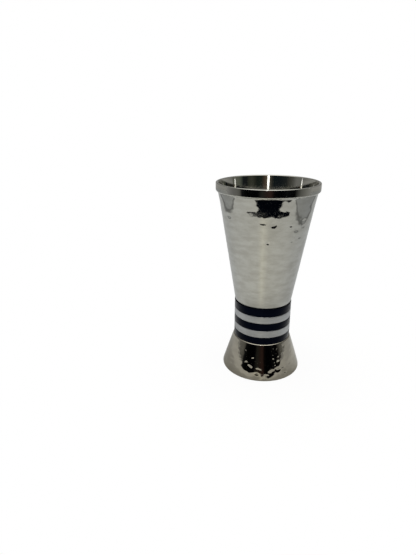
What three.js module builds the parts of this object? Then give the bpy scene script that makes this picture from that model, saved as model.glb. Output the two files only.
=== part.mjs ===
// A kiddush cup: a hammered conical beaker with a smooth thickened rim, standing on a stack of five
// turned rings in two colours and a hammered, flared foot that is open underneath.
// Millimetres, +Z up. The origin is the centre of the circle that the foot stands on.
import * as THREE from "three";

// Driving dimensions.
const CUP_HEIGHT = 140;
const WALL = 1.0; // thickness of the beaker's and the foot's sheet metal

const FOOT_HEIGHT = 25.8;
const FOOT_BASE_RADIUS = 29.4;
const FOOT_BELLY_RADIUS = 26.55; // where the foot's side bends, steeper below and flatter above
const FOOT_BELLY_HEIGHT = 9.5;
const FOOT_TOP_RADIUS = 21.25;
const FOOT_HEM = 1.6; // width and height of the turned hem that the foot stands on
const FOOT_EDGE = 0.7; // roundness of the hem's outer edge and of the shoulder under the rings

const RING_RADIUS = 20.95;
const RING_CHAMFER = 0.25;
// From the foot upwards.
const RINGS = [
  { name: "navy_ring_bottom", height: 5.5, colour: "navy" },
  { name: "silver_ring_lower", height: 5.4, colour: "silver" },
  { name: "navy_ring_middle", height: 5.8, colour: "navy" },
  { name: "silver_ring_upper", height: 5.3, colour: "silver" },
  { name: "navy_ring_top", height: 6.1, colour: "navy" },
];

const HEEL_RADIUS = 20.75; // outside of the beaker, just above its rounded bottom corner
const HEEL_EDGE = 1.2; // roundness of that corner
const CONE_TOP_RADIUS = 33.8; // outside of the beaker, just under the rim band
const RIM_BAND_HEIGHT = 5.8;
const RIM_BAND_UNDERCUT = 1.7; // roundness of the band's lower edge, where it meets the cone
const RIM_RADIUS = 35.5; // outermost radius, at the mouth
const LIP_EDGE = 0.5; // roundness of the lip's outer and inner edges

const SEGMENTS = 52; // round the axis, a multiple of 4 so that the cup is as wide as it is deep
const ARC_STEPS = 2; // half the number of chords in a rounded edge

// Hammer marks: shallow dents in staggered courses round the outside of the sheet metal.
const DENT_DEPTH = 0.22;
const SHALLOWEST_DENT = 0.55; // as a share of the deepest
const BEAKER_COURSES = 12;
const FOOT_LOWER_COURSES = 2;
const FOOT_UPPER_COURSES = 3;

const BEAKER_BASE = FOOT_HEIGHT + RINGS.reduce((sum, ring) => sum + ring.height, 0);
const CONE_BASE = BEAKER_BASE + HEEL_EDGE;
const CONE_TOP = CUP_HEIGHT - RIM_BAND_HEIGHT;
const CONE_SLOPE = (CONE_TOP_RADIUS - HEEL_RADIUS) / (CONE_TOP - CONE_BASE);

const STEEL = new THREE.MeshStandardMaterial({ color: 0xb0afa8, roughness: 0.12, metalness: 1 });
const RING_FINISH = {
  navy: new THREE.MeshStandardMaterial({ color: 0x0b101c, roughness: 0.3, metalness: 0.6 }),
  silver: new THREE.MeshStandardMaterial({ color: 0xb4b6b8, roughness: 0.32, metalness: 1 }),
};

// A profile is a THREE.Path in the plane of radius (x) and height (y). An edge is rounded about a
// centre, from one direction to another, in degrees: 0 points outwards and 90 upwards.
function roundEdge(profile, radius, height, edge, fromDeg, toDeg) {
  const from = THREE.MathUtils.degToRad(fromDeg);
  const to = THREE.MathUtils.degToRad(toDeg);
  profile.absarc(radius, height, edge, from, to, to < from);
}

// A straight stretch of the profile, cut into equal steps.
function steppedLine(profile, radius, height, steps) {
  const from = profile.currentPoint.clone();
  const to = new THREE.Vector2(radius, height);
  for (let i = 1; i <= steps; i++) {
    const point = from.clone().lerp(to, i / steps);
    profile.lineTo(point.x, point.y);
  }
}

// Turns a profile about the axis and stands it upright.
function revolve(profile) {
  return new THREE.LatheGeometry(profile.getPoints(ARC_STEPS), SEGMENTS).rotateX(Math.PI / 2);
}

// A repeatable depth for each dent, so that no two neighbours are equally deep.
function dentDepth(course, column) {
  const wave = Math.sin(course * 12.9898 + column * 78.233) * 43758.5453;
  const scatter = wave - Math.floor(wave);
  return DENT_DEPTH * (SHALLOWEST_DENT + (1 - SHALLOWEST_DENT) * scatter);
}

// Pushes dents into a field of the outer face. The field is a cone cut into twice as many rows as
// it has courses: a dent is every other vertex of every other row, shifted by one from course to
// course, so that the facets between the dents tilt to and fro as hammered metal does.
function hammer(geometry, field) {
  const rows = 2 * field.courses;
  const position = geometry.getAttribute("position");
  for (let i = 0; i < position.count; i++) {
    const [x, y, z] = [position.getX(i), position.getY(i), position.getZ(i)];
    const radius = Math.hypot(x, y);
    const rise = (z - field.low) / (field.high - field.low);
    const faceRadius = THREE.MathUtils.lerp(field.lowRadius, field.highRadius, rise);
    const row = Math.round(rise * rows);
    const betweenEnds = row > 0 && row < rows;
    if (!betweenEnds || row % 2 === 0 || Math.abs(radius - faceRadius) > 0.01) continue;
    const course = (row - 1) / 2;
    const turn = Math.atan2(y, x) / (2 * Math.PI) + 1;
    const column = Math.round(turn * SEGMENTS) % SEGMENTS;
    if ((column + course) % 2 !== 0) continue;
    const scale = 1 - dentDepth(course, column) / radius;
    position.setXY(i, x * scale, y * scale);
  }
  return geometry;
}

function makeBeaker() {
  const floor = BEAKER_BASE + WALL;
  const innerHeel = HEEL_RADIUS + CONE_SLOPE * WALL - WALL * Math.hypot(1, CONE_SLOPE);
  const innerMouth = innerHeel + CONE_SLOPE * (CUP_HEIGHT - floor - HEEL_EDGE);
  const bandBase = CONE_TOP + RIM_BAND_UNDERCUT;
  const lip = CUP_HEIGHT - LIP_EDGE;
  const profile = new THREE.Path().moveTo(0, BEAKER_BASE);
  profile.lineTo(HEEL_RADIUS - HEEL_EDGE, BEAKER_BASE);
  roundEdge(profile, HEEL_RADIUS - HEEL_EDGE, BEAKER_BASE + HEEL_EDGE, HEEL_EDGE, -90, 0);
  steppedLine(profile, CONE_TOP_RADIUS, CONE_TOP, 2 * BEAKER_COURSES);
  roundEdge(profile, CONE_TOP_RADIUS, bandBase, RIM_BAND_UNDERCUT, -90, 0);
  profile.lineTo(RIM_RADIUS, lip);
  roundEdge(profile, RIM_RADIUS - LIP_EDGE, lip, LIP_EDGE, 0, 90);
  profile.lineTo(innerMouth + LIP_EDGE, CUP_HEIGHT);
  roundEdge(profile, innerMouth + LIP_EDGE, lip, LIP_EDGE, 90, 180);
  profile.lineTo(innerHeel, floor + HEEL_EDGE);
  roundEdge(profile, innerHeel - HEEL_EDGE, floor + HEEL_EDGE, HEEL_EDGE, 0, -90);
  profile.lineTo(0, floor);
  return hammer(revolve(profile), {
    low: CONE_BASE,
    lowRadius: HEEL_RADIUS,
    high: CONE_TOP,
    highRadius: CONE_TOP_RADIUS,
    courses: BEAKER_COURSES,
  });
}

function makeRing(height) {
  const profile = new THREE.Path().moveTo(0, 0);
  profile.lineTo(RING_RADIUS - RING_CHAMFER, 0);
  profile.lineTo(RING_RADIUS, RING_CHAMFER);
  profile.lineTo(RING_RADIUS, height - RING_CHAMFER);
  profile.lineTo(RING_RADIUS - RING_CHAMFER, height);
  profile.lineTo(0, height);
  return revolve(profile);
}

function makeFoot() {
  const plate = FOOT_HEIGHT - WALL; // underside of the plate that carries the rings
  const shoulder = FOOT_HEIGHT - FOOT_EDGE;
  const flare = (FOOT_BELLY_RADIUS - FOOT_TOP_RADIUS) / (shoulder - FOOT_BELLY_HEIGHT);
  const levelWall = WALL * Math.hypot(1, flare); // the sheet's thickness, measured level
  const innerBase = FOOT_BASE_RADIUS - FOOT_HEM;
  const profile = new THREE.Path().moveTo(0, plate);
  profile.lineTo(FOOT_TOP_RADIUS - levelWall + flare * (shoulder - plate), plate);
  profile.lineTo(FOOT_BELLY_RADIUS - levelWall, FOOT_BELLY_HEIGHT);
  profile.lineTo(innerBase, FOOT_HEM);
  profile.lineTo(innerBase, 0);
  profile.lineTo(FOOT_BASE_RADIUS - FOOT_EDGE, 0);
  roundEdge(profile, FOOT_BASE_RADIUS - FOOT_EDGE, FOOT_EDGE, FOOT_EDGE, -90, 0);
  steppedLine(profile, FOOT_BELLY_RADIUS, FOOT_BELLY_HEIGHT, 2 * FOOT_LOWER_COURSES);
  steppedLine(profile, FOOT_TOP_RADIUS, shoulder, 2 * FOOT_UPPER_COURSES);
  roundEdge(profile, FOOT_TOP_RADIUS - FOOT_EDGE, shoulder, FOOT_EDGE, 0, 90);
  profile.lineTo(0, FOOT_HEIGHT);
  const foot = revolve(profile);
  hammer(foot, {
    low: FOOT_EDGE,
    lowRadius: FOOT_BASE_RADIUS,
    high: FOOT_BELLY_HEIGHT,
    highRadius: FOOT_BELLY_RADIUS,
    courses: FOOT_LOWER_COURSES,
  });
  return hammer(foot, {
    low: FOOT_BELLY_HEIGHT,
    lowRadius: FOOT_BELLY_RADIUS,
    high: shoulder,
    highRadius: FOOT_TOP_RADIUS,
    courses: FOOT_UPPER_COURSES,
  });
}

function addPiece(group, name, geometry, material, height = 0) {
  const piece = new THREE.Mesh(geometry, material);
  piece.name = name;
  piece.position.z = height;
  group.add(piece);
}

const cup = new THREE.Group();
addPiece(cup, "foot", makeFoot(), STEEL);
let stackTop = FOOT_HEIGHT;
for (const ring of RINGS) {
  addPiece(cup, ring.name, makeRing(ring.height), RING_FINISH[ring.colour], stackTop);
  stackTop += ring.height;
}
addPiece(cup, "beaker", makeBeaker(), STEEL);

export default cup;
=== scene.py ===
"""A kiddush cup: a hammered steel beaker with a turned rim band, on a stack of navy and bare
aluminium rings and a hammered, flared foot. Metres, +Z up, with the cup's axis on the world's Z."""

import math

import bmesh
import bpy
import numpy as np
from mathutils import Matrix, Vector


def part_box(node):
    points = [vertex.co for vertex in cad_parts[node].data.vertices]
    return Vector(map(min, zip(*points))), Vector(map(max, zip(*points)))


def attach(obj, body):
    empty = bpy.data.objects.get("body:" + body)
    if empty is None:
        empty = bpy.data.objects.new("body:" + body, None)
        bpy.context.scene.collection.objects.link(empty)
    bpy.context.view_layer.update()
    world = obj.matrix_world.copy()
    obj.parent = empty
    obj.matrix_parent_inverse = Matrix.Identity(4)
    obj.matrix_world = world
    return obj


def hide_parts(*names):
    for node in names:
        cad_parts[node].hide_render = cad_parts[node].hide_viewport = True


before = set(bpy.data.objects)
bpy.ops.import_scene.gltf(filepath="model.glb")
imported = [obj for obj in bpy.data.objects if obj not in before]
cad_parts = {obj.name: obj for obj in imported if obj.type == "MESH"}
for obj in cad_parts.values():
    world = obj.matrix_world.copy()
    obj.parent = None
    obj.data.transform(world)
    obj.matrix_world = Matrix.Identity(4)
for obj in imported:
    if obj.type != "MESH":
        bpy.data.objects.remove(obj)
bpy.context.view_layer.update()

MM = 0.001

# ------------------------------------------------------------------ sizes, from the frame

BEAKER_LOW, BEAKER_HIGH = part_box("beaker")
FOOT_LOW, FOOT_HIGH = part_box("foot")

WALL = 1.0 * MM
HEEL_RADIUS = 20.75 * MM  # outside of the beaker, just above its rounded bottom corner
HEEL_ROUNDING = 1.2 * MM
CONE_TOP_RADIUS = 33.8 * MM  # outside of the beaker, just under the rim band
RIM_BAND_HEIGHT = 5.8 * MM
RIM_BAND_OVERHANG = 1.7 * MM
RIM_BAND_ROUNDING = 1.1 * MM  # of the band's lower edge
RIM_BAND_FILLET = 0.3 * MM  # in the corner between the cone and the band
LIP_ROUNDING = 0.45 * MM

CONE_BASE = BEAKER_LOW.z + HEEL_ROUNDING
CONE_TOP = BEAKER_HIGH.z - RIM_BAND_HEIGHT
CONE_SLOPE = (CONE_TOP_RADIUS - HEEL_RADIUS) / (CONE_TOP - CONE_BASE)

FOOT_BELLY_RADIUS = 26.55 * MM  # where the foot's side bends a little, steeper below than above
FOOT_BELLY_HEIGHT = 9.5 * MM
FOOT_BELLY_ROUNDING = 4 * MM
FOOT_TOP_RADIUS = 21.25 * MM
FOOT_HEM = 1.6 * MM  # width and height of the turned hem on which it stands
FOOT_EDGE = 0.7 * MM  # roundness of the foot's upper and lower corners

RING_ROUNDING = 0.3 * MM


def add_object(name, data):
    thing = bpy.data.objects.new(name, data)
    bpy.context.scene.collection.objects.link(thing)
    return thing


# ------------------------------------------------------------------ turning

SECTORS = 12  # a profile is spun through one sector, and the sector is then repeated
STEPS_HAMMERED = 480  # faces round a hammered piece
STEPS_TURNED = 240
HAMMERED_ROW = 0.54 * MM  # height of a row of faces where the hammer marks need a fine mesh
PLAIN_ROW = 8 * MM
ROUNDING_STEPS = 6


def turn(name, corners, steps, row_at):
    """Turns a profile about Z. A corner is (radius, height, rounding), and row_at gives the height
    of the rows that a straight stretch is cut into, from the stretch's middle."""
    bm = bmesh.new()
    verts = [bm.verts.new((radius, 0, height)) for radius, height, _ in corners]
    for a, b in zip(verts, verts[1:]):
        bm.edges.new((a, b))
    for vert, (_, _, rounding) in zip(verts, corners):
        if rounding:
            bmesh.ops.bevel(
                bm, geom=[vert], offset=rounding, offset_type="OFFSET", segments=ROUNDING_STEPS,
                profile=0.5, affect="VERTICES", material=-1, clamp_overlap=False,
            )
    for edge in list(bm.edges):
        cuts = int(edge.calc_length() / row_at((edge.verts[0].co + edge.verts[1].co) / 2))
        if cuts:
            bmesh.ops.subdivide_edges(bm, edges=[edge], cuts=cuts)
    sector = math.tau / SECTORS
    about_z = {"cent": (0, 0, 0), "axis": (0, 0, 1)}
    bmesh.ops.spin(
        bm, geom=bm.verts[:] + bm.edges[:], angle=sector, steps=steps // SECTORS, **about_z
    )
    bmesh.ops.spin(
        bm, geom=bm.verts[:] + bm.edges[:] + bm.faces[:], angle=math.tau - sector,
        steps=SECTORS - 1, use_duplicate=True, **about_z,
    )
    bmesh.ops.remove_doubles(bm, verts=bm.verts, dist=0.0005 * MM)
    bmesh.ops.recalc_face_normals(bm, faces=bm.faces)
    return finish_mesh(name, bm)


def finish_mesh(name, bm):
    """Makes a smooth shaded object of a bmesh."""
    mesh = bpy.data.meshes.new(name)
    bm.to_mesh(mesh)
    bm.free()
    mesh.shade_smooth()
    return add_object(name, mesh)


# ------------------------------------------------------------------ hammering

FADE = 0.6 * MM  # the length in which the relief runs out at the ends of a face

# The single dents on the front, where the hammer's edge caught: degrees from +X, and then in
# millimetres the place up the face, the width across, the width up and the depth.
BEAKER_DENTS = [
    (-101.6, 64.1, 4.6, 2.0, 0.06),
    (-89.4, 62.4, 3.6, 2.6, 0.1),
    (-86.4, 63.6, 2.4, 2.0, 0.06),
    (-94.8, 50.4, 2.1, 1.9, 0.17),
    (-78.4, 64.2, 4.4, 1.8, 0.022),
    (-67.5, 62.0, 3.4, 2.0, 0.1),
    (-58.0, 58.2, 4.2, 2.4, 0.13),
    (-49.0, 52.6, 3.4, 2.0, 0.14),
    (-47.0, 63.6, 3.0, 2.2, 0.13),
    (-62.0, 50.9, 3.0, 1.9, 0.16),
    (-70.5, 44.9, 6.5, 1.7, 0.07),
    (-149.0, 65.8, 3.2, 2.2, 0.11),
    (-147.0, 37.4, 1.8, 1.6, 0.1),
    (-114.0, 50.0, 3.6, 1.8, 0.1),
    (-126.5, 62.6, 4.4, 1.8, 0.05),
    (-103.4, 57.3, 2.6, 1.6, 0.06),
]
FOOT_DENTS = [
    (-126.0, 20.5, 1.2, 1.2, 0.1),
    (-111.0, 15.7, 2.0, 1.8, 0.17),
    (-109.8, 16.4, 1.4, 1.4, 0.06),
    (-121.0, 12.3, 1.6, 1.5, 0.13),
    (-122.6, 11.7, 1.6, 1.2, 0.06),
    (-113.0, 8.8, 2.8, 2.4, 0.17),
    (-116.0, 10.0, 2.2, 1.8, 0.09),
    (-101.5, 8.6, 2.6, 1.7, 0.11),
    (-97.5, 8.0, 2.2, 1.4, 0.08),
    (-104.0, 0, 7.5, 9.0, 0.2),
    (-102.7, 5.2, 2.4, 1.6, 0.1),
    (-84.0, 4.0, 2.2, 1.4, 0.05),
    (-81.6, 5.8, 3.4, 2.6, 0.12),
    (-77.8, 7.2, 2.2, 2.2, 0.09),
    (-67.8, 7.7, 3.0, 2.0, 0.12),
    (-67.2, 13.4, 2.2, 2.2, 0.13),
    (-65.6, 16.6, 1.8, 1.6, 0.09),
    (-68.2, 19.6, 1.6, 1.8, 0.09),
    (-66.6, 22.6, 2.0, 1.6, 0.1),
    (-72.6, 8.6, 0.9, 1.4, 0.07),
    (-73.0, 10.8, 0.8, 1.6, 0.08),
    (-73.8, 13.0, 0.9, 1.5, 0.07),
    (-75.3, 15.6, 1.8, 1.7, 0.16),
    (-74.9, 18.4, 1.2, 2.0, 0.14),
    (-74.2, 20.4, 1.0, 1.6, 0.1),
    (-73.6, 23.0, 1.2, 1.8, 0.16),
]
# The last blows under the band, as degrees from +X and half of each one's width in degrees.
BEAKER_SWELLS = [
    (-171, 15), (-122.5, 14), (-74, 9.5), (-30, 14), (15, 14), (60, 14), (105, 14), (147, 14),
]

rng = np.random.default_rng(613)


def planished(turn_share, along, radius, pitch, bowl, scatter):
    """Height of a planished face: round hollows of one hammer in staggered courses, each a shallow
    bowl of the radius of curvature `bowl`, which meet in soft ridges. turn_share is the place round
    the axis from 0 to 1, along the place up the face, pitch the space between two blows, and
    scatter the difference in depth between them."""
    stray = 0.7  # how far a blow may land from its place, as a share of the pitch
    courses = int(along.max() / pitch) + 3
    most = int(math.tau * radius.max() / pitch) + 2
    jitter = rng.uniform(-0.5, 0.5, (courses, most, 3))
    own_course = np.floor(along / pitch).astype(int)
    softness = scatter * 0.25  # of the ridges
    total = np.zeros_like(along)
    for step in (-1, 0, 1):
        course = np.clip(own_course + step, 0, courses - 1)
        middle = (course + 0.5) * pitch
        # The count of blows in a course follows from the radius there.
        share = np.clip(middle / along.max(), 0, 1)
        course_radius = radius.min() + (radius.max() - radius.min()) * share
        count = np.round(math.tau * course_radius / pitch).astype(int)
        place = turn_share * count - 0.5 * (course % 2)
        for side in (-1, 0, 1):
            index = np.floor(place).astype(int) + side
            blow = jitter[course, index % count]
            across = (place - index - 0.5 - stray * blow[..., 0]) * math.tau * radius / count
            up = along - middle - stray * blow[..., 1] * pitch
            height = (across**2 + up**2) / (2 * bowl) + scatter * blow[..., 2]
            total += np.exp(-height / softness)
    height = -softness * np.log(total)
    return height - height.mean()


def waves(turn_share, along, length, depth, count=14):
    """Slow unevenness of the sheet, as waves of about the given length in all directions."""
    height = np.zeros_like(along)
    for _ in range(count):
        lobes = rng.integers(2, 10)
        lean = rng.uniform(-1, 1) * math.tau / length
        phase = rng.uniform(0, math.tau)
        height += np.cos(lobes * turn_share * math.tau + lean * along + phase)
    return height * depth / math.sqrt(count)


def dents(turn_share, along, radius, marks):
    """The relief of small deep marks. A mark is (degrees from +X, place up the face, width across,
    width up, depth)."""
    height = np.zeros_like(along)
    for degrees, at, across_width, up_width, depth in marks:
        around = (turn_share - degrees / 360 + 0.5) % 1 - 0.5
        across, up = around * math.tau * radius, along - at
        height -= depth * np.exp(-((2 * across / across_width) ** 2) - (2 * up / up_width) ** 2)
    return height


def in_metres(table):
    """The marks of a table in degrees and millimetres, as dents() takes them."""
    return [(degrees, *(size * MM for size in sizes)) for degrees, *sizes in table]


def scattered_marks(count, degrees, along, width, depth):
    """Marks for dents() at random places within two ranges, of about the given width and depth."""
    return [
        (rng.uniform(*degrees), rng.uniform(*along), rng.uniform(0.6, 1.3) * width,
         rng.uniform(0.5, 1.0) * width, rng.uniform(0.4, 1.0) * depth)
        for _ in range(count)
    ]


def smoothstep(low, high, value):
    share = np.clip((value - low) / (high - low), 0, 1)
    return share * share * (3 - 2 * share)


def swells(turn_share, along, low, slope, softness, places):
    """Broad blows that swell the sheet outwards, at a slope that starts softly at the place `low`
    up the face. A place is (degrees from +X, half the swell's width in degrees), and the sheet is
    left as it is between them."""
    gone, full = 6, -4  # degrees from a swell's edge at which it has run out, and is at its full
    share = np.zeros_like(along)
    for degrees, half_width in places:
        off_middle = np.abs((turn_share - degrees / 360 + 0.5) % 1 - 0.5) * 360
        share = np.maximum(share, smoothstep(half_width + gone, half_width + full, off_middle))
    return slope * (np.hypot(np.maximum(along - low, 0), softness) - softness) * share


def hammer(piece, low, high, field):
    """Moves the outer face between two profile points, each (radius, height), in or out by
    field(turn_share, along, radius), fading out towards both ends."""
    mesh = piece.data
    co = np.empty(len(mesh.vertices) * 3)
    mesh.vertices.foreach_get("co", co)
    co = co.reshape(-1, 3)
    radius = np.hypot(co[:, 0], co[:, 1])
    span = np.array([high[0] - low[0], high[1] - low[1]])
    length = np.hypot(*span)
    direction = span / length
    outward = np.array([direction[1], -direction[0]])
    offset = np.stack([radius - low[0], co[:, 2] - low[1]], axis=1)
    along, off_face = offset @ direction, offset @ outward
    chosen = (along > 0) & (along < length) & (np.abs(off_face) < 0.5 * WALL)
    at = along[chosen]
    turn_share = np.arctan2(co[chosen, 1], co[chosen, 0]) / math.tau % 1
    fade = smoothstep(0, FADE, np.minimum(at, length - at))
    height = field(turn_share, at, radius[chosen]) * fade
    unit = co[chosen, :2] / radius[chosen, None]
    co[chosen, :2] += unit * (height * outward[0])[:, None]
    co[chosen, 2] += height * outward[1]
    mesh.vertices.foreach_set("co", co.ravel())
    mesh.update()


# ------------------------------------------------------------------ materials


def linear(hex_colour):
    """An sRGB hex colour as linear red, green and blue."""
    channels = [int(hex_colour[i : i + 2], 16) / 255 for i in (1, 3, 5)]
    return tuple(c / 12.92 if c <= 0.04045 else ((c + 0.055) / 1.055) ** 2.4 for c in channels)


def add_node(tree, kind, settings=None, links=None):
    """Adds a node, sets its sockets, by name or number, and its properties, and links other nodes'
    outputs in. A colour ramp's stops are {place: (red, green, blue)}, in linear values."""
    node = tree.nodes.new(kind)
    for name, value in (settings or {}).items():
        if name == "stops":
            elements = node.color_ramp.elements
            for place in list(value)[2:]:
                elements.new(place)
            for element, (place, colour) in zip(elements, sorted(value.items())):
                element.position, element.color = place, (*colour, 1)
        elif isinstance(name, int) or name in node.inputs:
            node.inputs[name].default_value = value
        else:
            setattr(node, name, value)
    for name, output in (links or {}).items():
        tree.links.new(output, node.inputs[name])
    return node


def new_material(name):
    """An empty material, and its tree."""
    material = bpy.data.materials.new(name)
    material.use_nodes = True
    material.node_tree.nodes.clear()
    return material, material.node_tree


HAZE_PATCH = 9 * MM  # the size of the patches that the buffing wheel leaves a little duller
HAZE_SMEAR = 2.6  # how many times longer they are round a hammered piece than up it
PEEL_GRAIN = 0.7 * MM  # coarser than the real orange peel, so that it shows
PEEL_DEPTH = 0.002 * MM


def hammered_steel(name, dark, light):
    """Stainless steel sheet, planished by hammer and buffed bright: a mirror with a slightly warm
    tone, softened in smears round the piece by buffing haze, and by a very fine orange peel."""
    material, tree = new_material(name)
    place = add_node(tree, "ShaderNodeTexCoord").outputs["Object"]
    smeared = add_node(tree, "ShaderNodeMapping", {"Scale": (1, 1, HAZE_SMEAR)}, {"Vector": place})
    haze = add_node(
        tree, "ShaderNodeTexNoise", {"Scale": 1 / HAZE_PATCH, "Detail": 4.0, "Roughness": 0.6},
        {"Vector": smeared.outputs["Vector"]},
    )
    tone = add_node(
        tree, "ShaderNodeValToRGB", {"stops": {0.35: linear(dark), 0.65: linear(light)}},
        {"Fac": haze.outputs["Fac"]},
    )
    rough = add_node(
        tree, "ShaderNodeMapRange",
        {"From Min": 0.3, "From Max": 0.7, "To Min": 0.03, "To Max": 0.06},
        {"Value": haze.outputs["Fac"]},
    )
    peel = add_node(
        tree, "ShaderNodeTexNoise", {"Scale": 1 / PEEL_GRAIN, "Detail": 1.0}, {"Vector": place}
    )
    bump = add_node(
        tree, "ShaderNodeBump", {"Strength": 1.0, "Distance": PEEL_DEPTH},
        {"Height": peel.outputs["Fac"]},
    )
    surface = add_node(
        tree, "ShaderNodeBsdfPrincipled", {"Metallic": 1.0},
        {
            "Base Color": tone.outputs["Color"],
            "Roughness": rough.outputs["Result"],
            "Normal": bump.outputs["Normal"],
        },
    )
    add_node(tree, "ShaderNodeOutputMaterial", {}, {"Surface": surface.outputs["BSDF"]})
    return material


def polished_steel():
    """The same steel, turned and polished without hammering: a plain mirror with hardly any haze."""
    material, tree = new_material("polished_steel")
    place = add_node(tree, "ShaderNodeTexCoord").outputs["Object"]
    haze = add_node(
        tree, "ShaderNodeTexNoise", {"Scale": 1 / HAZE_PATCH, "Detail": 4.0}, {"Vector": place}
    )
    rough = add_node(
        tree, "ShaderNodeMapRange",
        {"From Min": 0.3, "From Max": 0.7, "To Min": 0.06, "To Max": 0.1},
        {"Value": haze.outputs["Fac"]},
    )
    surface = add_node(
        tree, "ShaderNodeBsdfPrincipled",
        {"Metallic": 1.0, "Base Color": (*linear("#c2c1ba"), 1)},
        {"Roughness": rough.outputs["Result"]},
    )
    add_node(tree, "ShaderNodeOutputMaterial", {}, {"Surface": surface.outputs["BSDF"]})
    return material


LATHE_LINE_LENGTH = 50 * MM


def turned_metal(name, dark, light, roughness, spacing, depth):
    """A metal finished on the lathe: its fine lines run round the piece, so a light draws out into
    a streak up and down it. The lines' spacing is a few times that of a finishing cut, because
    finer ones wouldn't show."""
    material, tree = new_material(name)
    place = add_node(tree, "ShaderNodeTexCoord").outputs["Object"]
    stretched = add_node(
        tree, "ShaderNodeMapping",
        {"Scale": (1 / LATHE_LINE_LENGTH, 1 / LATHE_LINE_LENGTH, 1 / spacing)}, {"Vector": place},
    )
    lines = add_node(
        tree, "ShaderNodeTexNoise", {"Scale": 1.0, "Detail": 3.0},
        {"Vector": stretched.outputs["Vector"]},
    )
    bump = add_node(
        tree, "ShaderNodeBump", {"Strength": 1.0, "Distance": depth},
        {"Height": lines.outputs["Fac"]},
    )
    tone = add_node(
        tree, "ShaderNodeValToRGB", {"stops": {0.3: linear(dark), 0.7: linear(light)}},
        {"Fac": lines.outputs["Fac"]},
    )
    round_axis = add_node(tree, "ShaderNodeTangent", {"direction_type": "RADIAL", "axis": "Z"})
    surface = add_node(
        tree, "ShaderNodeBsdfPrincipled",
        {
            "Metallic": 1.0,
            "Roughness": roughness,
            "Anisotropic": 0.8,
            "Anisotropic Rotation": 0.25,
        },
        {
            "Base Color": tone.outputs["Color"],
            "Normal": bump.outputs["Normal"],
            "Tangent": round_axis.outputs["Tangent"],
        },
    )
    add_node(tree, "ShaderNodeOutputMaterial", {}, {"Surface": surface.outputs["BSDF"]})
    return material


HAMMERED = hammered_steel("hammered_buffed_steel", "#b8b7b1", "#c9c9c4")
# The foot's copy of the steel is darker and warmer; its darkness is painted shade, for the shaded
# floor near the cup that it mirrors.
HAMMERED_FOOT_SHADED = hammered_steel("hammered_foot_steel_painted_shade", "#a6a196", "#b1aca0")
# The insides: nearly a mirror, with lathe lines that draw each lamp into a thin upright streak.
SPUN_STEEL = turned_metal(
    "spun_steel", "#b8b7b0", "#c8c7c0", roughness=0.08, spacing=0.25 * MM, depth=0.0003 * MM
)
POLISHED = polished_steel()
# A dyed satin skin on turned metal: nearly black, blue where the light catches it.
NAVY = turned_metal(
    "navy_anodised_aluminium", "#080c16", "#0c1120", roughness=0.25, spacing=0.3 * MM,
    depth=0.003 * MM,
)
# Turned and left bare: a pale, cool satin in which nothing mirrors sharply.
BARE = turned_metal(
    "turned_bare_aluminium", "#b4b6b8", "#c6c8ca", roughness=0.3, spacing=0.3 * MM,
    depth=0.006 * MM,
)

# ------------------------------------------------------------------ the pieces


def make_beaker():
    floor = BEAKER_LOW.z + WALL
    inner_heel = HEEL_RADIUS + CONE_SLOPE * WALL - WALL * math.hypot(1, CONE_SLOPE)
    mouth = inner_heel + CONE_SLOPE * (BEAKER_HIGH.z - floor - HEEL_ROUNDING)
    # From the middle of the bottom, up the outside, over the lip and down the inside.
    corners = [
        (0, BEAKER_LOW.z, 0),
        (HEEL_RADIUS - CONE_SLOPE * HEEL_ROUNDING, BEAKER_LOW.z, HEEL_ROUNDING),
        (CONE_TOP_RADIUS, CONE_TOP, RIM_BAND_FILLET),
        (CONE_TOP_RADIUS + RIM_BAND_OVERHANG, CONE_TOP, RIM_BAND_ROUNDING),
        (BEAKER_HIGH.x, BEAKER_HIGH.z, LIP_ROUNDING),
        (mouth, BEAKER_HIGH.z, LIP_ROUNDING),
        (inner_heel, floor, HEEL_ROUNDING),
        (0, floor, 0),
    ]

    def outer(point):
        """Whether a point is on the cone's outside, or farther out."""
        cone_radius = HEEL_RADIUS + CONE_SLOPE * (point.z - CONE_BASE)
        return math.hypot(point.x, point.y) > cone_radius - 0.5 * WALL

    def row_at(middle):
        return HAMMERED_ROW if outer(middle) and CONE_BASE < middle.z < CONE_TOP else PLAIN_ROW

    beaker = turn("hammered_beaker", corners, STEPS_HAMMERED, row_at)

    def field(turn_share, along, radius):
        height = planished(
            turn_share, along, radius, pitch=3.4 * MM, bowl=260 * MM, scatter=0.0016 * MM
        )
        height += waves(turn_share, along, length=20 * MM, depth=0.012 * MM)
        height += swells(
            turn_share, along, low=71.2 * MM, slope=math.tan(math.radians(2.4)),
            softness=1.2 * MM, places=BEAKER_SWELLS,
        )
        marks = in_metres(BEAKER_DENTS)
        marks += scattered_marks(
            60, degrees=(0, 360), along=(0, 80 * MM), width=2.0 * MM, depth=0.02 * MM
        )
        marks += scattered_marks(
            120, degrees=(-54, 200), along=(30 * MM, 76 * MM), width=4.5 * MM, depth=0.09 * MM
        )
        return height + dents(turn_share, along, radius, marks)

    # Under the band the relief runs on, and fades only past the face's end.
    top = CONE_TOP_RADIUS + CONE_SLOPE * FADE, CONE_TOP + FADE
    hammer(beaker, (HEEL_RADIUS, CONE_BASE), top, field)
    for material in (HAMMERED, SPUN_STEEL, POLISHED):
        beaker.data.materials.append(material)
    outside, inside, band = range(3)
    for face in beaker.data.polygons:
        middle = face.center
        if outer(middle) or middle.z < floor - 0.5 * WALL:
            face.material_index = outside if middle.z < CONE_TOP else band
        else:
            face.material_index = inside
    return beaker


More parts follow.
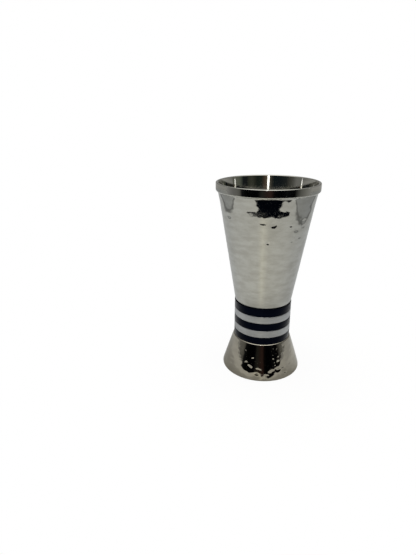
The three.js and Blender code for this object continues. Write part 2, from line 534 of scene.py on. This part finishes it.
def make_foot():
    low, high = FOOT_LOW.z, FOOT_HIGH.z
    plate = high - WALL
    belly = low + FOOT_BELLY_HEIGHT
    flare = (FOOT_BELLY_RADIUS - FOOT_TOP_RADIUS) / (high - belly)
    level_wall = WALL * math.hypot(1, flare)  # the sheet's thickness, measured level
    # From under the middle of the top, down the inside, round the hem and up the outside.
    corners = [
        (0, plate, 0),
        (FOOT_TOP_RADIUS - level_wall + flare * WALL, plate, 0),
        (FOOT_BELLY_RADIUS - level_wall, belly, 0),
        (FOOT_HIGH.x - FOOT_HEM, low + FOOT_HEM, 0),
        (FOOT_HIGH.x - FOOT_HEM, low, 0),
        (FOOT_HIGH.x, low, FOOT_EDGE),
        (FOOT_BELLY_RADIUS, belly, FOOT_BELLY_ROUNDING),
        (FOOT_TOP_RADIUS, high, FOOT_EDGE),
        (0, high, 0),
    ]

    def outer(point):
        """Whether a point is on the foot's outside, or farther out."""
        rise = point.z - belly
        slope = flare if rise > 0 else (FOOT_HIGH.x - FOOT_BELLY_RADIUS) / FOOT_BELLY_HEIGHT
        return math.hypot(point.x, point.y) > FOOT_BELLY_RADIUS - slope * rise - 0.6 * WALL

    def row_at(middle):
        return HAMMERED_ROW if outer(middle) and low < middle.z < high else PLAIN_ROW

    foot = turn("hammered_foot", corners, STEPS_HAMMERED, row_at)

    def field(turn_share, along, radius):
        height = planished(
            turn_share, along, radius, pitch=3.2 * MM, bowl=160 * MM, scatter=0.003 * MM
        )
        height += waves(turn_share, along, length=16 * MM, depth=0.01 * MM)
        marks = in_metres(FOOT_DENTS)
        marks += scattered_marks(
            60, degrees=(-60, 210), along=(8 * MM, 25 * MM), width=2.2 * MM, depth=0.08 * MM
        )
        marks += scattered_marks(
            80, degrees=(-60, 210), along=(1 * MM, 11 * MM), width=3.6 * MM, depth=0.12 * MM
        )
        return height + dents(turn_share, along, radius, marks)

    # At the bottom the relief runs on into the rounded edge.
    slope = (FOOT_HIGH.x - FOOT_TOP_RADIUS) / (high - low - 2 * FOOT_EDGE)
    bottom = FOOT_HIGH.x + slope * FADE, low + FOOT_EDGE - FADE
    hammer(foot, bottom, (FOOT_TOP_RADIUS, high - FOOT_EDGE), field)
    for material in (HAMMERED_FOOT_SHADED, SPUN_STEEL):
        foot.data.materials.append(material)
    for face in foot.data.polygons:
        inside = not outer(face.center) and face.center.z < high - 0.5 * WALL
        face.material_index = 1 if inside else 0
    return foot


def make_ring(node):
    low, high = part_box(node)
    corners = [
        (0, low.z, 0),
        (high.x, low.z, RING_ROUNDING),
        (high.x, high.z, RING_ROUNDING),
        (0, high.z, 0),
    ]
    name = node.replace("_ring", "_turned_ring")
    ring = turn(name, corners, STEPS_TURNED, lambda middle: PLAIN_ROW)
    ring.data.materials.append(NAVY if node.startswith("navy") else BARE)
    return ring


def stand_in(piece, node):
    """Lets a piece stand for a node's plain solid, on the cup's one body."""
    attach(piece, "root")
    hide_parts(node)


stand_in(make_beaker(), "beaker")
stand_in(make_foot(), "foot")
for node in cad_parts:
    if "_ring" in node:
        stand_in(make_ring(node), node)

# ------------------------------------------------------------------ camera

# The eye is in front, a little to the left, and looks down over the near side of the mouth.
CAMERA_PLACE = Vector((-41.1, -291.8, 182.4)) * MM
CAMERA_DOWN = math.radians(20.97)
CAMERA_ROLL = math.radians(-0.362)
CAMERA_LENS = 27.53

camera_data = bpy.data.cameras.new("camera")
camera_data.lens = CAMERA_LENS
camera_data.clip_start = 10 * MM
camera = add_object("camera", camera_data)
camera.matrix_world = (
    Matrix.Translation(CAMERA_PLACE)
    @ Matrix.Rotation(math.pi / 2 - CAMERA_DOWN, 4, "X")
    @ Matrix.Rotation(CAMERA_ROLL, 4, "Z")
)
bpy.context.scene.camera = camera

bpy.context.scene.view_settings.view_transform = "Standard"

# ------------------------------------------------------------------ floor, room and light


def azimuth(tree, spot, reach):
    """The direction of a spot seen from the cup's axis: 0.5 in front, with 0 and 1 at `reach`
    degrees to the left and to the right."""
    axes = add_node(tree, "ShaderNodeSeparateXYZ", {}, {"Vector": spot})
    towards_front = add_node(
        tree, "ShaderNodeMath", {"operation": "MULTIPLY", 1: -1}, {0: axes.outputs["Y"]}
    )
    angle = add_node(
        tree, "ShaderNodeMath", {"operation": "ARCTAN2"},
        {0: axes.outputs["X"], 1: towards_front.outputs[0]},
    )
    limits = {"From Min": math.radians(-reach), "From Max": math.radians(reach)}
    return add_node(tree, "ShaderNodeMapRange", limits, {"Value": angle.outputs[0]}).outputs[0]


def floor_paper():
    """Matt white paper. The metal sees it greyer than the eye does, in painted light and shade, as
    under a studio's low light:
    brightest and warmest in a narrow strip in front, a painted pool of light which draws the streak
    down the beaker, and dimmer to the sides, a painted fall-off, and past the paper's edges. Near
    the cup it is darker, a painted shadow, except on the right, where it is brighter, painted light."""
    material, tree = new_material("floor_paper")
    to_eye = add_node(tree, "ShaderNodeLightPath").outputs["Is Camera Ray"]
    spot = add_node(tree, "ShaderNodeNewGeometry").outputs["Position"]
    away = add_node(tree, "ShaderNodeVectorMath", {"operation": "LENGTH"}, {"Vector": spot})
    # To the eye it is white, with a little of the lit paper and of the cup's soft shadow near it.
    white = add_node(
        tree, "ShaderNodeMapRange",
        {"From Min": 40 * MM, "From Max": 160 * MM, "To Min": 0.92, "To Max": 1.0},
        {"Value": away.outputs["Value"]},
    )
    lit = add_node(tree, "ShaderNodeBsdfDiffuse", {"Color": (*linear("#fbfbfb"), 1)})
    glow = add_node(tree, "ShaderNodeEmission", {"Strength": 1.0})
    seen = add_node(
        tree, "ShaderNodeMixShader", {},
        {0: white.outputs["Result"], 1: lit.outputs[0], 2: glow.outputs[0]},
    )
    direction = azimuth(tree, spot, 180)
    # By direction in degrees, from straight in front: the painted light and shade of the paper in
    # the metal, as its brightness and how blue it is there, near the cup and farther off. Its green
    # follows from the blue.
    near_cup_painted_light_and_shade = {
        -180: (0.43, 1.03), -98: (0.44, 1.0), -60: (0.42, 0.97), 0: (0.44, 0.95), 57: (0.45, 0.98),
        81: (0.64, 1.02), 110: (0.7, 1.02), 180: (0.43, 1.03),
    }
    far_painted_light_and_shade = {
        -180: (0.49, 1.07), -130: (0.51, 1.05), -98: (0.57, 1.01), -60: (0.585, 0.985),
        -29: (0.6, 0.955), -21: (0.66, 0.92), -15: (0.73, 0.895), -8: (0.67, 0.91),
        2: (0.59, 0.94), 20: (0.57, 0.96), 50: (0.56, 0.985), 80: (0.49, 1.02),
        110: (0.48, 1.05), 180: (0.49, 1.07),
    }
    near_painted_ramp, far_painted_ramp = (
        add_node(
            tree, "ShaderNodeValToRGB",
            {"stops": {
                0.5 + degrees / 360: (value, (0.76 + 0.25 * blue) * value, blue * value)
                for degrees, (value, blue) in zone.items()
            }},
            {"Fac": direction},
        )
        for zone in (near_cup_painted_light_and_shade, far_painted_light_and_shade)
    )
    share = add_node(
        tree, "ShaderNodeMapRange", {"From Min": 65 * MM, "From Max": 100 * MM},
        {"Value": away.outputs["Value"]},
    )
    grey = add_node(
        tree, "ShaderNodeMix", {"data_type": "RGBA"},
        {0: share.outputs["Result"], 6: near_painted_ramp.outputs["Color"], 7: far_painted_ramp.outputs["Color"]},
    )
    # The paper's right and left edges show as dark lines, with the dimmer table beyond. Each is
    # square to a vector, and the shorter vector puts its edge farther off.
    right, left = (
        add_node(tree, "ShaderNodeVectorMath", {"operation": "DOT_PRODUCT", 1: across}, {0: spot})
        for across in ((0.945, -0.253, 0), (-0.85, 0.104, 0))
    )
    sideways = add_node(
        tree, "ShaderNodeMath", {"operation": "MAXIMUM"},
        {0: right.outputs["Value"], 1: left.outputs["Value"]},
    )
    edges = add_node(
        tree, "ShaderNodeValToRGB",
        {"stops": {
            252 * MM: (1, 1, 1), 260 * MM: (0.35, 0.35, 0.35), 267 * MM: (0.35, 0.35, 0.35),
            275 * MM: (0.68, 0.69, 0.7),
        }},
        {"Fac": sideways.outputs[0]},
    )
    grey = add_node(
        tree, "ShaderNodeMix", {"data_type": "RGBA", "blend_type": "MULTIPLY", "Factor": 1.0},
        {6: grey.outputs[2], 7: edges.outputs["Color"]},
    )
    mirrored = add_node(tree, "ShaderNodeBsdfDiffuse", {}, {"Color": grey.outputs[2]})
    both = add_node(
        tree, "ShaderNodeMixShader", {}, {0: to_eye, 1: mirrored.outputs[0], 2: seen.outputs[0]}
    )
    add_node(tree, "ShaderNodeOutputMaterial", {}, {"Surface": both.outputs[0]})
    return material


def dark_room():
    """The dim room in front of the table, on a card that glows faintly: nearly black below the
    table's top, with soft upright bands above it and a grey wall coming in from both sides. The
    bands beside the cup and those above it are given by direction in degrees, from straight in
    front."""
    night = (0.001, 0.0018, 0.004, 1)
    reach = 110
    material, tree = new_material("dark_room")
    spot = add_node(tree, "ShaderNodeNewGeometry").outputs["Position"]
    direction = azimuth(tree, spot, reach)
    beside_cup = {
        -100: (0.31, 0.31, 0.31), -91: (0.24, 0.24, 0.235), -83: (0.19, 0.19, 0.185),
        -73: (0.17, 0.17, 0.16), -66: (0.12, 0.12, 0.11), -62.5: (0.008, 0.009, 0.01),
        -50: (0.0005, 0.001, 0.001), -27: (0.001, 0.001, 0.002), -19: (0.022, 0.023, 0.02),
        -9: (0.03, 0.02, 0.017), -2: (0.04, 0.022, 0.018), 5: (0.005, 0.004, 0.004),
        12: (0.0005, 0.001, 0.0015), 27: (0.001, 0.001, 0.002), 31: (0.006, 0.007, 0.007),
        36: (0.003, 0.003, 0.004), 49: (0.002, 0.002, 0.002), 56: (0.06, 0.06, 0.055),
        64: (0.14, 0.14, 0.13), 72: (0.19, 0.19, 0.175), 80: (0.25, 0.25, 0.235),
        90: (0.31, 0.31, 0.3),
    }
    above_cup = {
        -85: (0.22, 0.22, 0.21), -74: (0.11, 0.11, 0.1), -68: (0.08, 0.08, 0.07),
        -62: (0.05, 0.05, 0.045), -56: (0.02, 0.024, 0.024), -40: (0.01, 0.014, 0.017),
        -24: (0.008, 0.014, 0.016), -18: (0.035, 0.035, 0.03), -12: (0.12, 0.11, 0.09),
        -4: (0.14, 0.11, 0.08), 2: (0.07, 0.05, 0.035), 8: (0.02, 0.026, 0.02),
        20: (0.013, 0.018, 0.015), 27: (0.035, 0.037, 0.028), 34: (0.055, 0.058, 0.045),
        42: (0.045, 0.048, 0.036), 48: (0.014, 0.016, 0.016), 59: (0.012, 0.016, 0.018),
        64: (0.08, 0.09, 0.075), 71: (0.14, 0.15, 0.12), 80: (0.16, 0.165, 0.14),
    }
    low_bands, high_bands = (
        add_node(
            tree, "ShaderNodeValToRGB",
            {"stops": {0.5 + degrees / (2 * reach): zone[degrees] for degrees in zone}},
            {"Fac": direction},
        )
        for zone in (beside_cup, above_cup)
    )
    axes = add_node(tree, "ShaderNodeSeparateXYZ", {}, {"Vector": spot})
    over_table, over_cup = (
        add_node(
            tree, "ShaderNodeMapRange", {"From Min": start, "From Max": end},
            {"Value": axes.outputs["Z"]},
        )
        for start, end in ((-20 * MM, 0), (120 * MM, 150 * MM))
    )
    bands = add_node(
        tree, "ShaderNodeMix", {"data_type": "RGBA"},
        {0: over_cup.outputs[0], 6: low_bands.outputs["Color"], 7: high_bands.outputs["Color"]},
    )
    room = add_node(
        tree, "ShaderNodeMix", {"data_type": "RGBA", 6: night},
        {0: over_table.outputs[0], 7: bands.outputs[2]},
    )
    glow = add_node(tree, "ShaderNodeEmission", {"Strength": 1.0}, {"Color": room.outputs[2]})
    add_node(tree, "ShaderNodeOutputMaterial", {}, {"Surface": glow.outputs[0]})
    return material


def stage_piece(name, bm, material):
    """Makes a piece of the surroundings, which isn't part of the cup."""
    piece = finish_mesh(name, bm)
    piece.data.materials.append(material)
    return piece


def sweep(bm, line, middle, half_width, steps):
    """Sweeps a line of (radius, height) points about Z, to both sides of a direction in degrees."""
    swing = Matrix.Rotation(math.radians(middle - half_width), 3, "Z")
    verts = [bm.verts.new(swing @ Vector((radius, 0, height))) for radius, height in line]
    edges = [bm.edges.new(pair) for pair in zip(verts, verts[1:])]
    bmesh.ops.spin(
        bm, geom=verts + edges, cent=(0, 0, 0), axis=(0, 0, 1),
        angle=math.radians(2 * half_width), steps=steps,
    )


TOWARDS_FRONT = -95  # the middle of the dark side, in degrees from +X
DARK_SIDE = 62  # the floor ends early, before a dark room, to this many degrees off that middle
FLOOR_RADIUS = 800 * MM
FLOOR_FRONT = 230 * MM  # where it ends straight in front
# To the sides its front edge curves away, and lies this much farther off at 53 degrees.
FLOOR_CURVE_AT = 53
FLOOR_LEFT_CURVE = 30 * MM
FLOOR_RIGHT_CURVE = 21 * MM
# In the last degrees before its corners it runs out farther still.
FLOOR_CORNER_SPAN = 14
FLOOR_CORNER_REACH = 40 * MM

CARD_RADIUS = 420 * MM
CARD_WINGS = 97
# Half the card's width, in degrees, at heights from its foot up: it has wings above the floor.
CARD_OUTLINE = [
    (-350 * MM, DARK_SIDE), (-2 * MM, DARK_SIDE), (0, CARD_WINGS), (450 * MM, CARD_WINGS),
]


def make_floor():
    bm = bmesh.new()
    sweep(bm, [(0, 0), (FLOOR_FRONT, 0)], TOWARDS_FRONT, DARK_SIDE, steps=31)
    front_edge = [vert for vert in bm.verts if vert.co.length > 0.5 * FLOOR_FRONT]
    for vert in front_edge:
        off_middle = math.degrees(math.atan2(vert.co.y, vert.co.x)) - TOWARDS_FRONT
        curve = FLOOR_LEFT_CURVE if off_middle < 0 else FLOOR_RIGHT_CURVE
        reach = FLOOR_FRONT + curve * (off_middle / FLOOR_CURVE_AT) ** 2
        in_corner = max(0, abs(off_middle) - (DARK_SIDE - FLOOR_CORNER_SPAN))
        reach += FLOOR_CORNER_REACH * (in_corner / FLOOR_CORNER_SPAN) ** 2
        vert.co *= reach / FLOOR_FRONT
    sweep(bm, [(0, 0), (FLOOR_RADIUS, 0)], TOWARDS_FRONT + 180, 180 - DARK_SIDE, steps=48)
    stage_piece("floor", bm, floor_paper())


def make_card():
    """A round card in front, which the metal alone sees. It is swept 1 degree to each side, and
    then drawn out to its width at each height."""
    bm = bmesh.new()
    sweep(bm, [(CARD_RADIUS, height) for height, _ in CARD_OUTLINE], 0, 1, steps=40)
    for vert in bm.verts:
        half_width = next(
            width for height, width in CARD_OUTLINE if abs(height - vert.co.z) < 0.5 * MM
        )
        angle = math.atan2(vert.co.y, vert.co.x) * half_width + math.radians(TOWARDS_FRONT)
        vert.co.xy = CARD_RADIUS * math.cos(angle), CARD_RADIUS * math.sin(angle)
    card = stage_piece("dark_room_card", bm, dark_room())
    card.visible_camera = False
    card.visible_shadow = False
    card.visible_diffuse = False


STRIP_DISTANCE = 400 * MM


def add_strip(name, degrees, low, high, width, radiance):
    """An upright strip light that only the metal sees, between two heights. Its direction is 0
    degrees in front of the cup and 90 on its right."""
    data = bpy.data.lights.new(name, "AREA")
    data.shape = "RECTANGLE"
    data.size, data.size_y = width, high - low
    data.energy = radiance * math.pi * width * (high - low)
    light = add_object(name, data)
    angle = math.radians(degrees)
    towards = Vector((math.sin(angle), -math.cos(angle), 0))
    light.location = towards * STRIP_DISTANCE + Vector((0, 0, (low + high) / 2))
    light.rotation_mode = "QUATERNION"
    light.rotation_quaternion = towards.to_track_quat("Z", "Y")
    light.visible_camera = False
    light.visible_diffuse = False


def add_soft_top():
    """A soft light overhead, for the paper alone: no metal mirrors it."""
    data = bpy.data.lights.new("soft_top", "AREA")
    data.size = 350 * MM
    data.energy = 0.7
    light = add_object("soft_top", data)
    light.location = (-50 * MM, 0, 570 * MM)
    light.visible_camera = False
    light.visible_glossy = False


def studio_world():
    """The room all round as the metal sees it: grey, with a dim strip 8 to 20 degrees above level
    and a bright ceiling, which draws thin white lines on rounded edges. The eye sees white."""
    world = bpy.data.worlds.new("studio")
    world.use_nodes = True
    tree = world.node_tree
    tree.nodes.clear()
    direction = add_node(tree, "ShaderNodeTexCoord").outputs["Generated"]
    axes = add_node(tree, "ShaderNodeSeparateXYZ", {}, {"Vector": direction})
    rise = add_node(
        tree, "ShaderNodeMapRange", {"From Min": -1.0, "From Max": 1.0},
        {"Value": axes.outputs["Z"]},
    )
    # From straight down at 0, through level at 0.5, to straight up at 1.
    brightness = {
        0.0: 0.1, 0.4: 0.32, 0.48: 0.42, 0.545: 0.38, 0.57: 0.3, 0.6: 0.15, 0.68: 0.3,
        0.8: 0.3, 0.88: 0.6, 0.93: 1.6, 1.0: 2.4,
    }
    sky = add_node(
        tree, "ShaderNodeValToRGB",
        {"stops": {
            place: (value, value * 0.99, value * 0.95) for place, value in brightness.items()
        }},
        {"Fac": rise.outputs["Result"]},
    )
    around = add_node(
        tree, "ShaderNodeBackground", {"Strength": 1.0}, {"Color": sky.outputs["Color"]}
    )
    plain = add_node(tree, "ShaderNodeBackground", {"Color": (1, 1, 1, 1), "Strength": 1.0})
    to_eye = add_node(tree, "ShaderNodeLightPath").outputs["Is Camera Ray"]
    both = add_node(
        tree, "ShaderNodeMixShader", {}, {0: to_eye, 1: around.outputs[0], 2: plain.outputs[0]}
    )
    add_node(tree, "ShaderNodeOutputWorld", {}, {"Surface": both.outputs[0]})
    return world


make_floor()
make_card()
# The key draws the broad streak inside the mouth, and the two lamps the thin ones beside it.
add_strip("key", -9, 202 * MM, 415 * MM, width=30 * MM, radiance=4)
for name, degrees in (("right_lamp", 84), ("left_lamp", -101)):
    add_strip(name, degrees, 165 * MM, 215 * MM, width=14 * MM, radiance=2.2)
add_soft_top()
bpy.context.scene.world = studio_world()
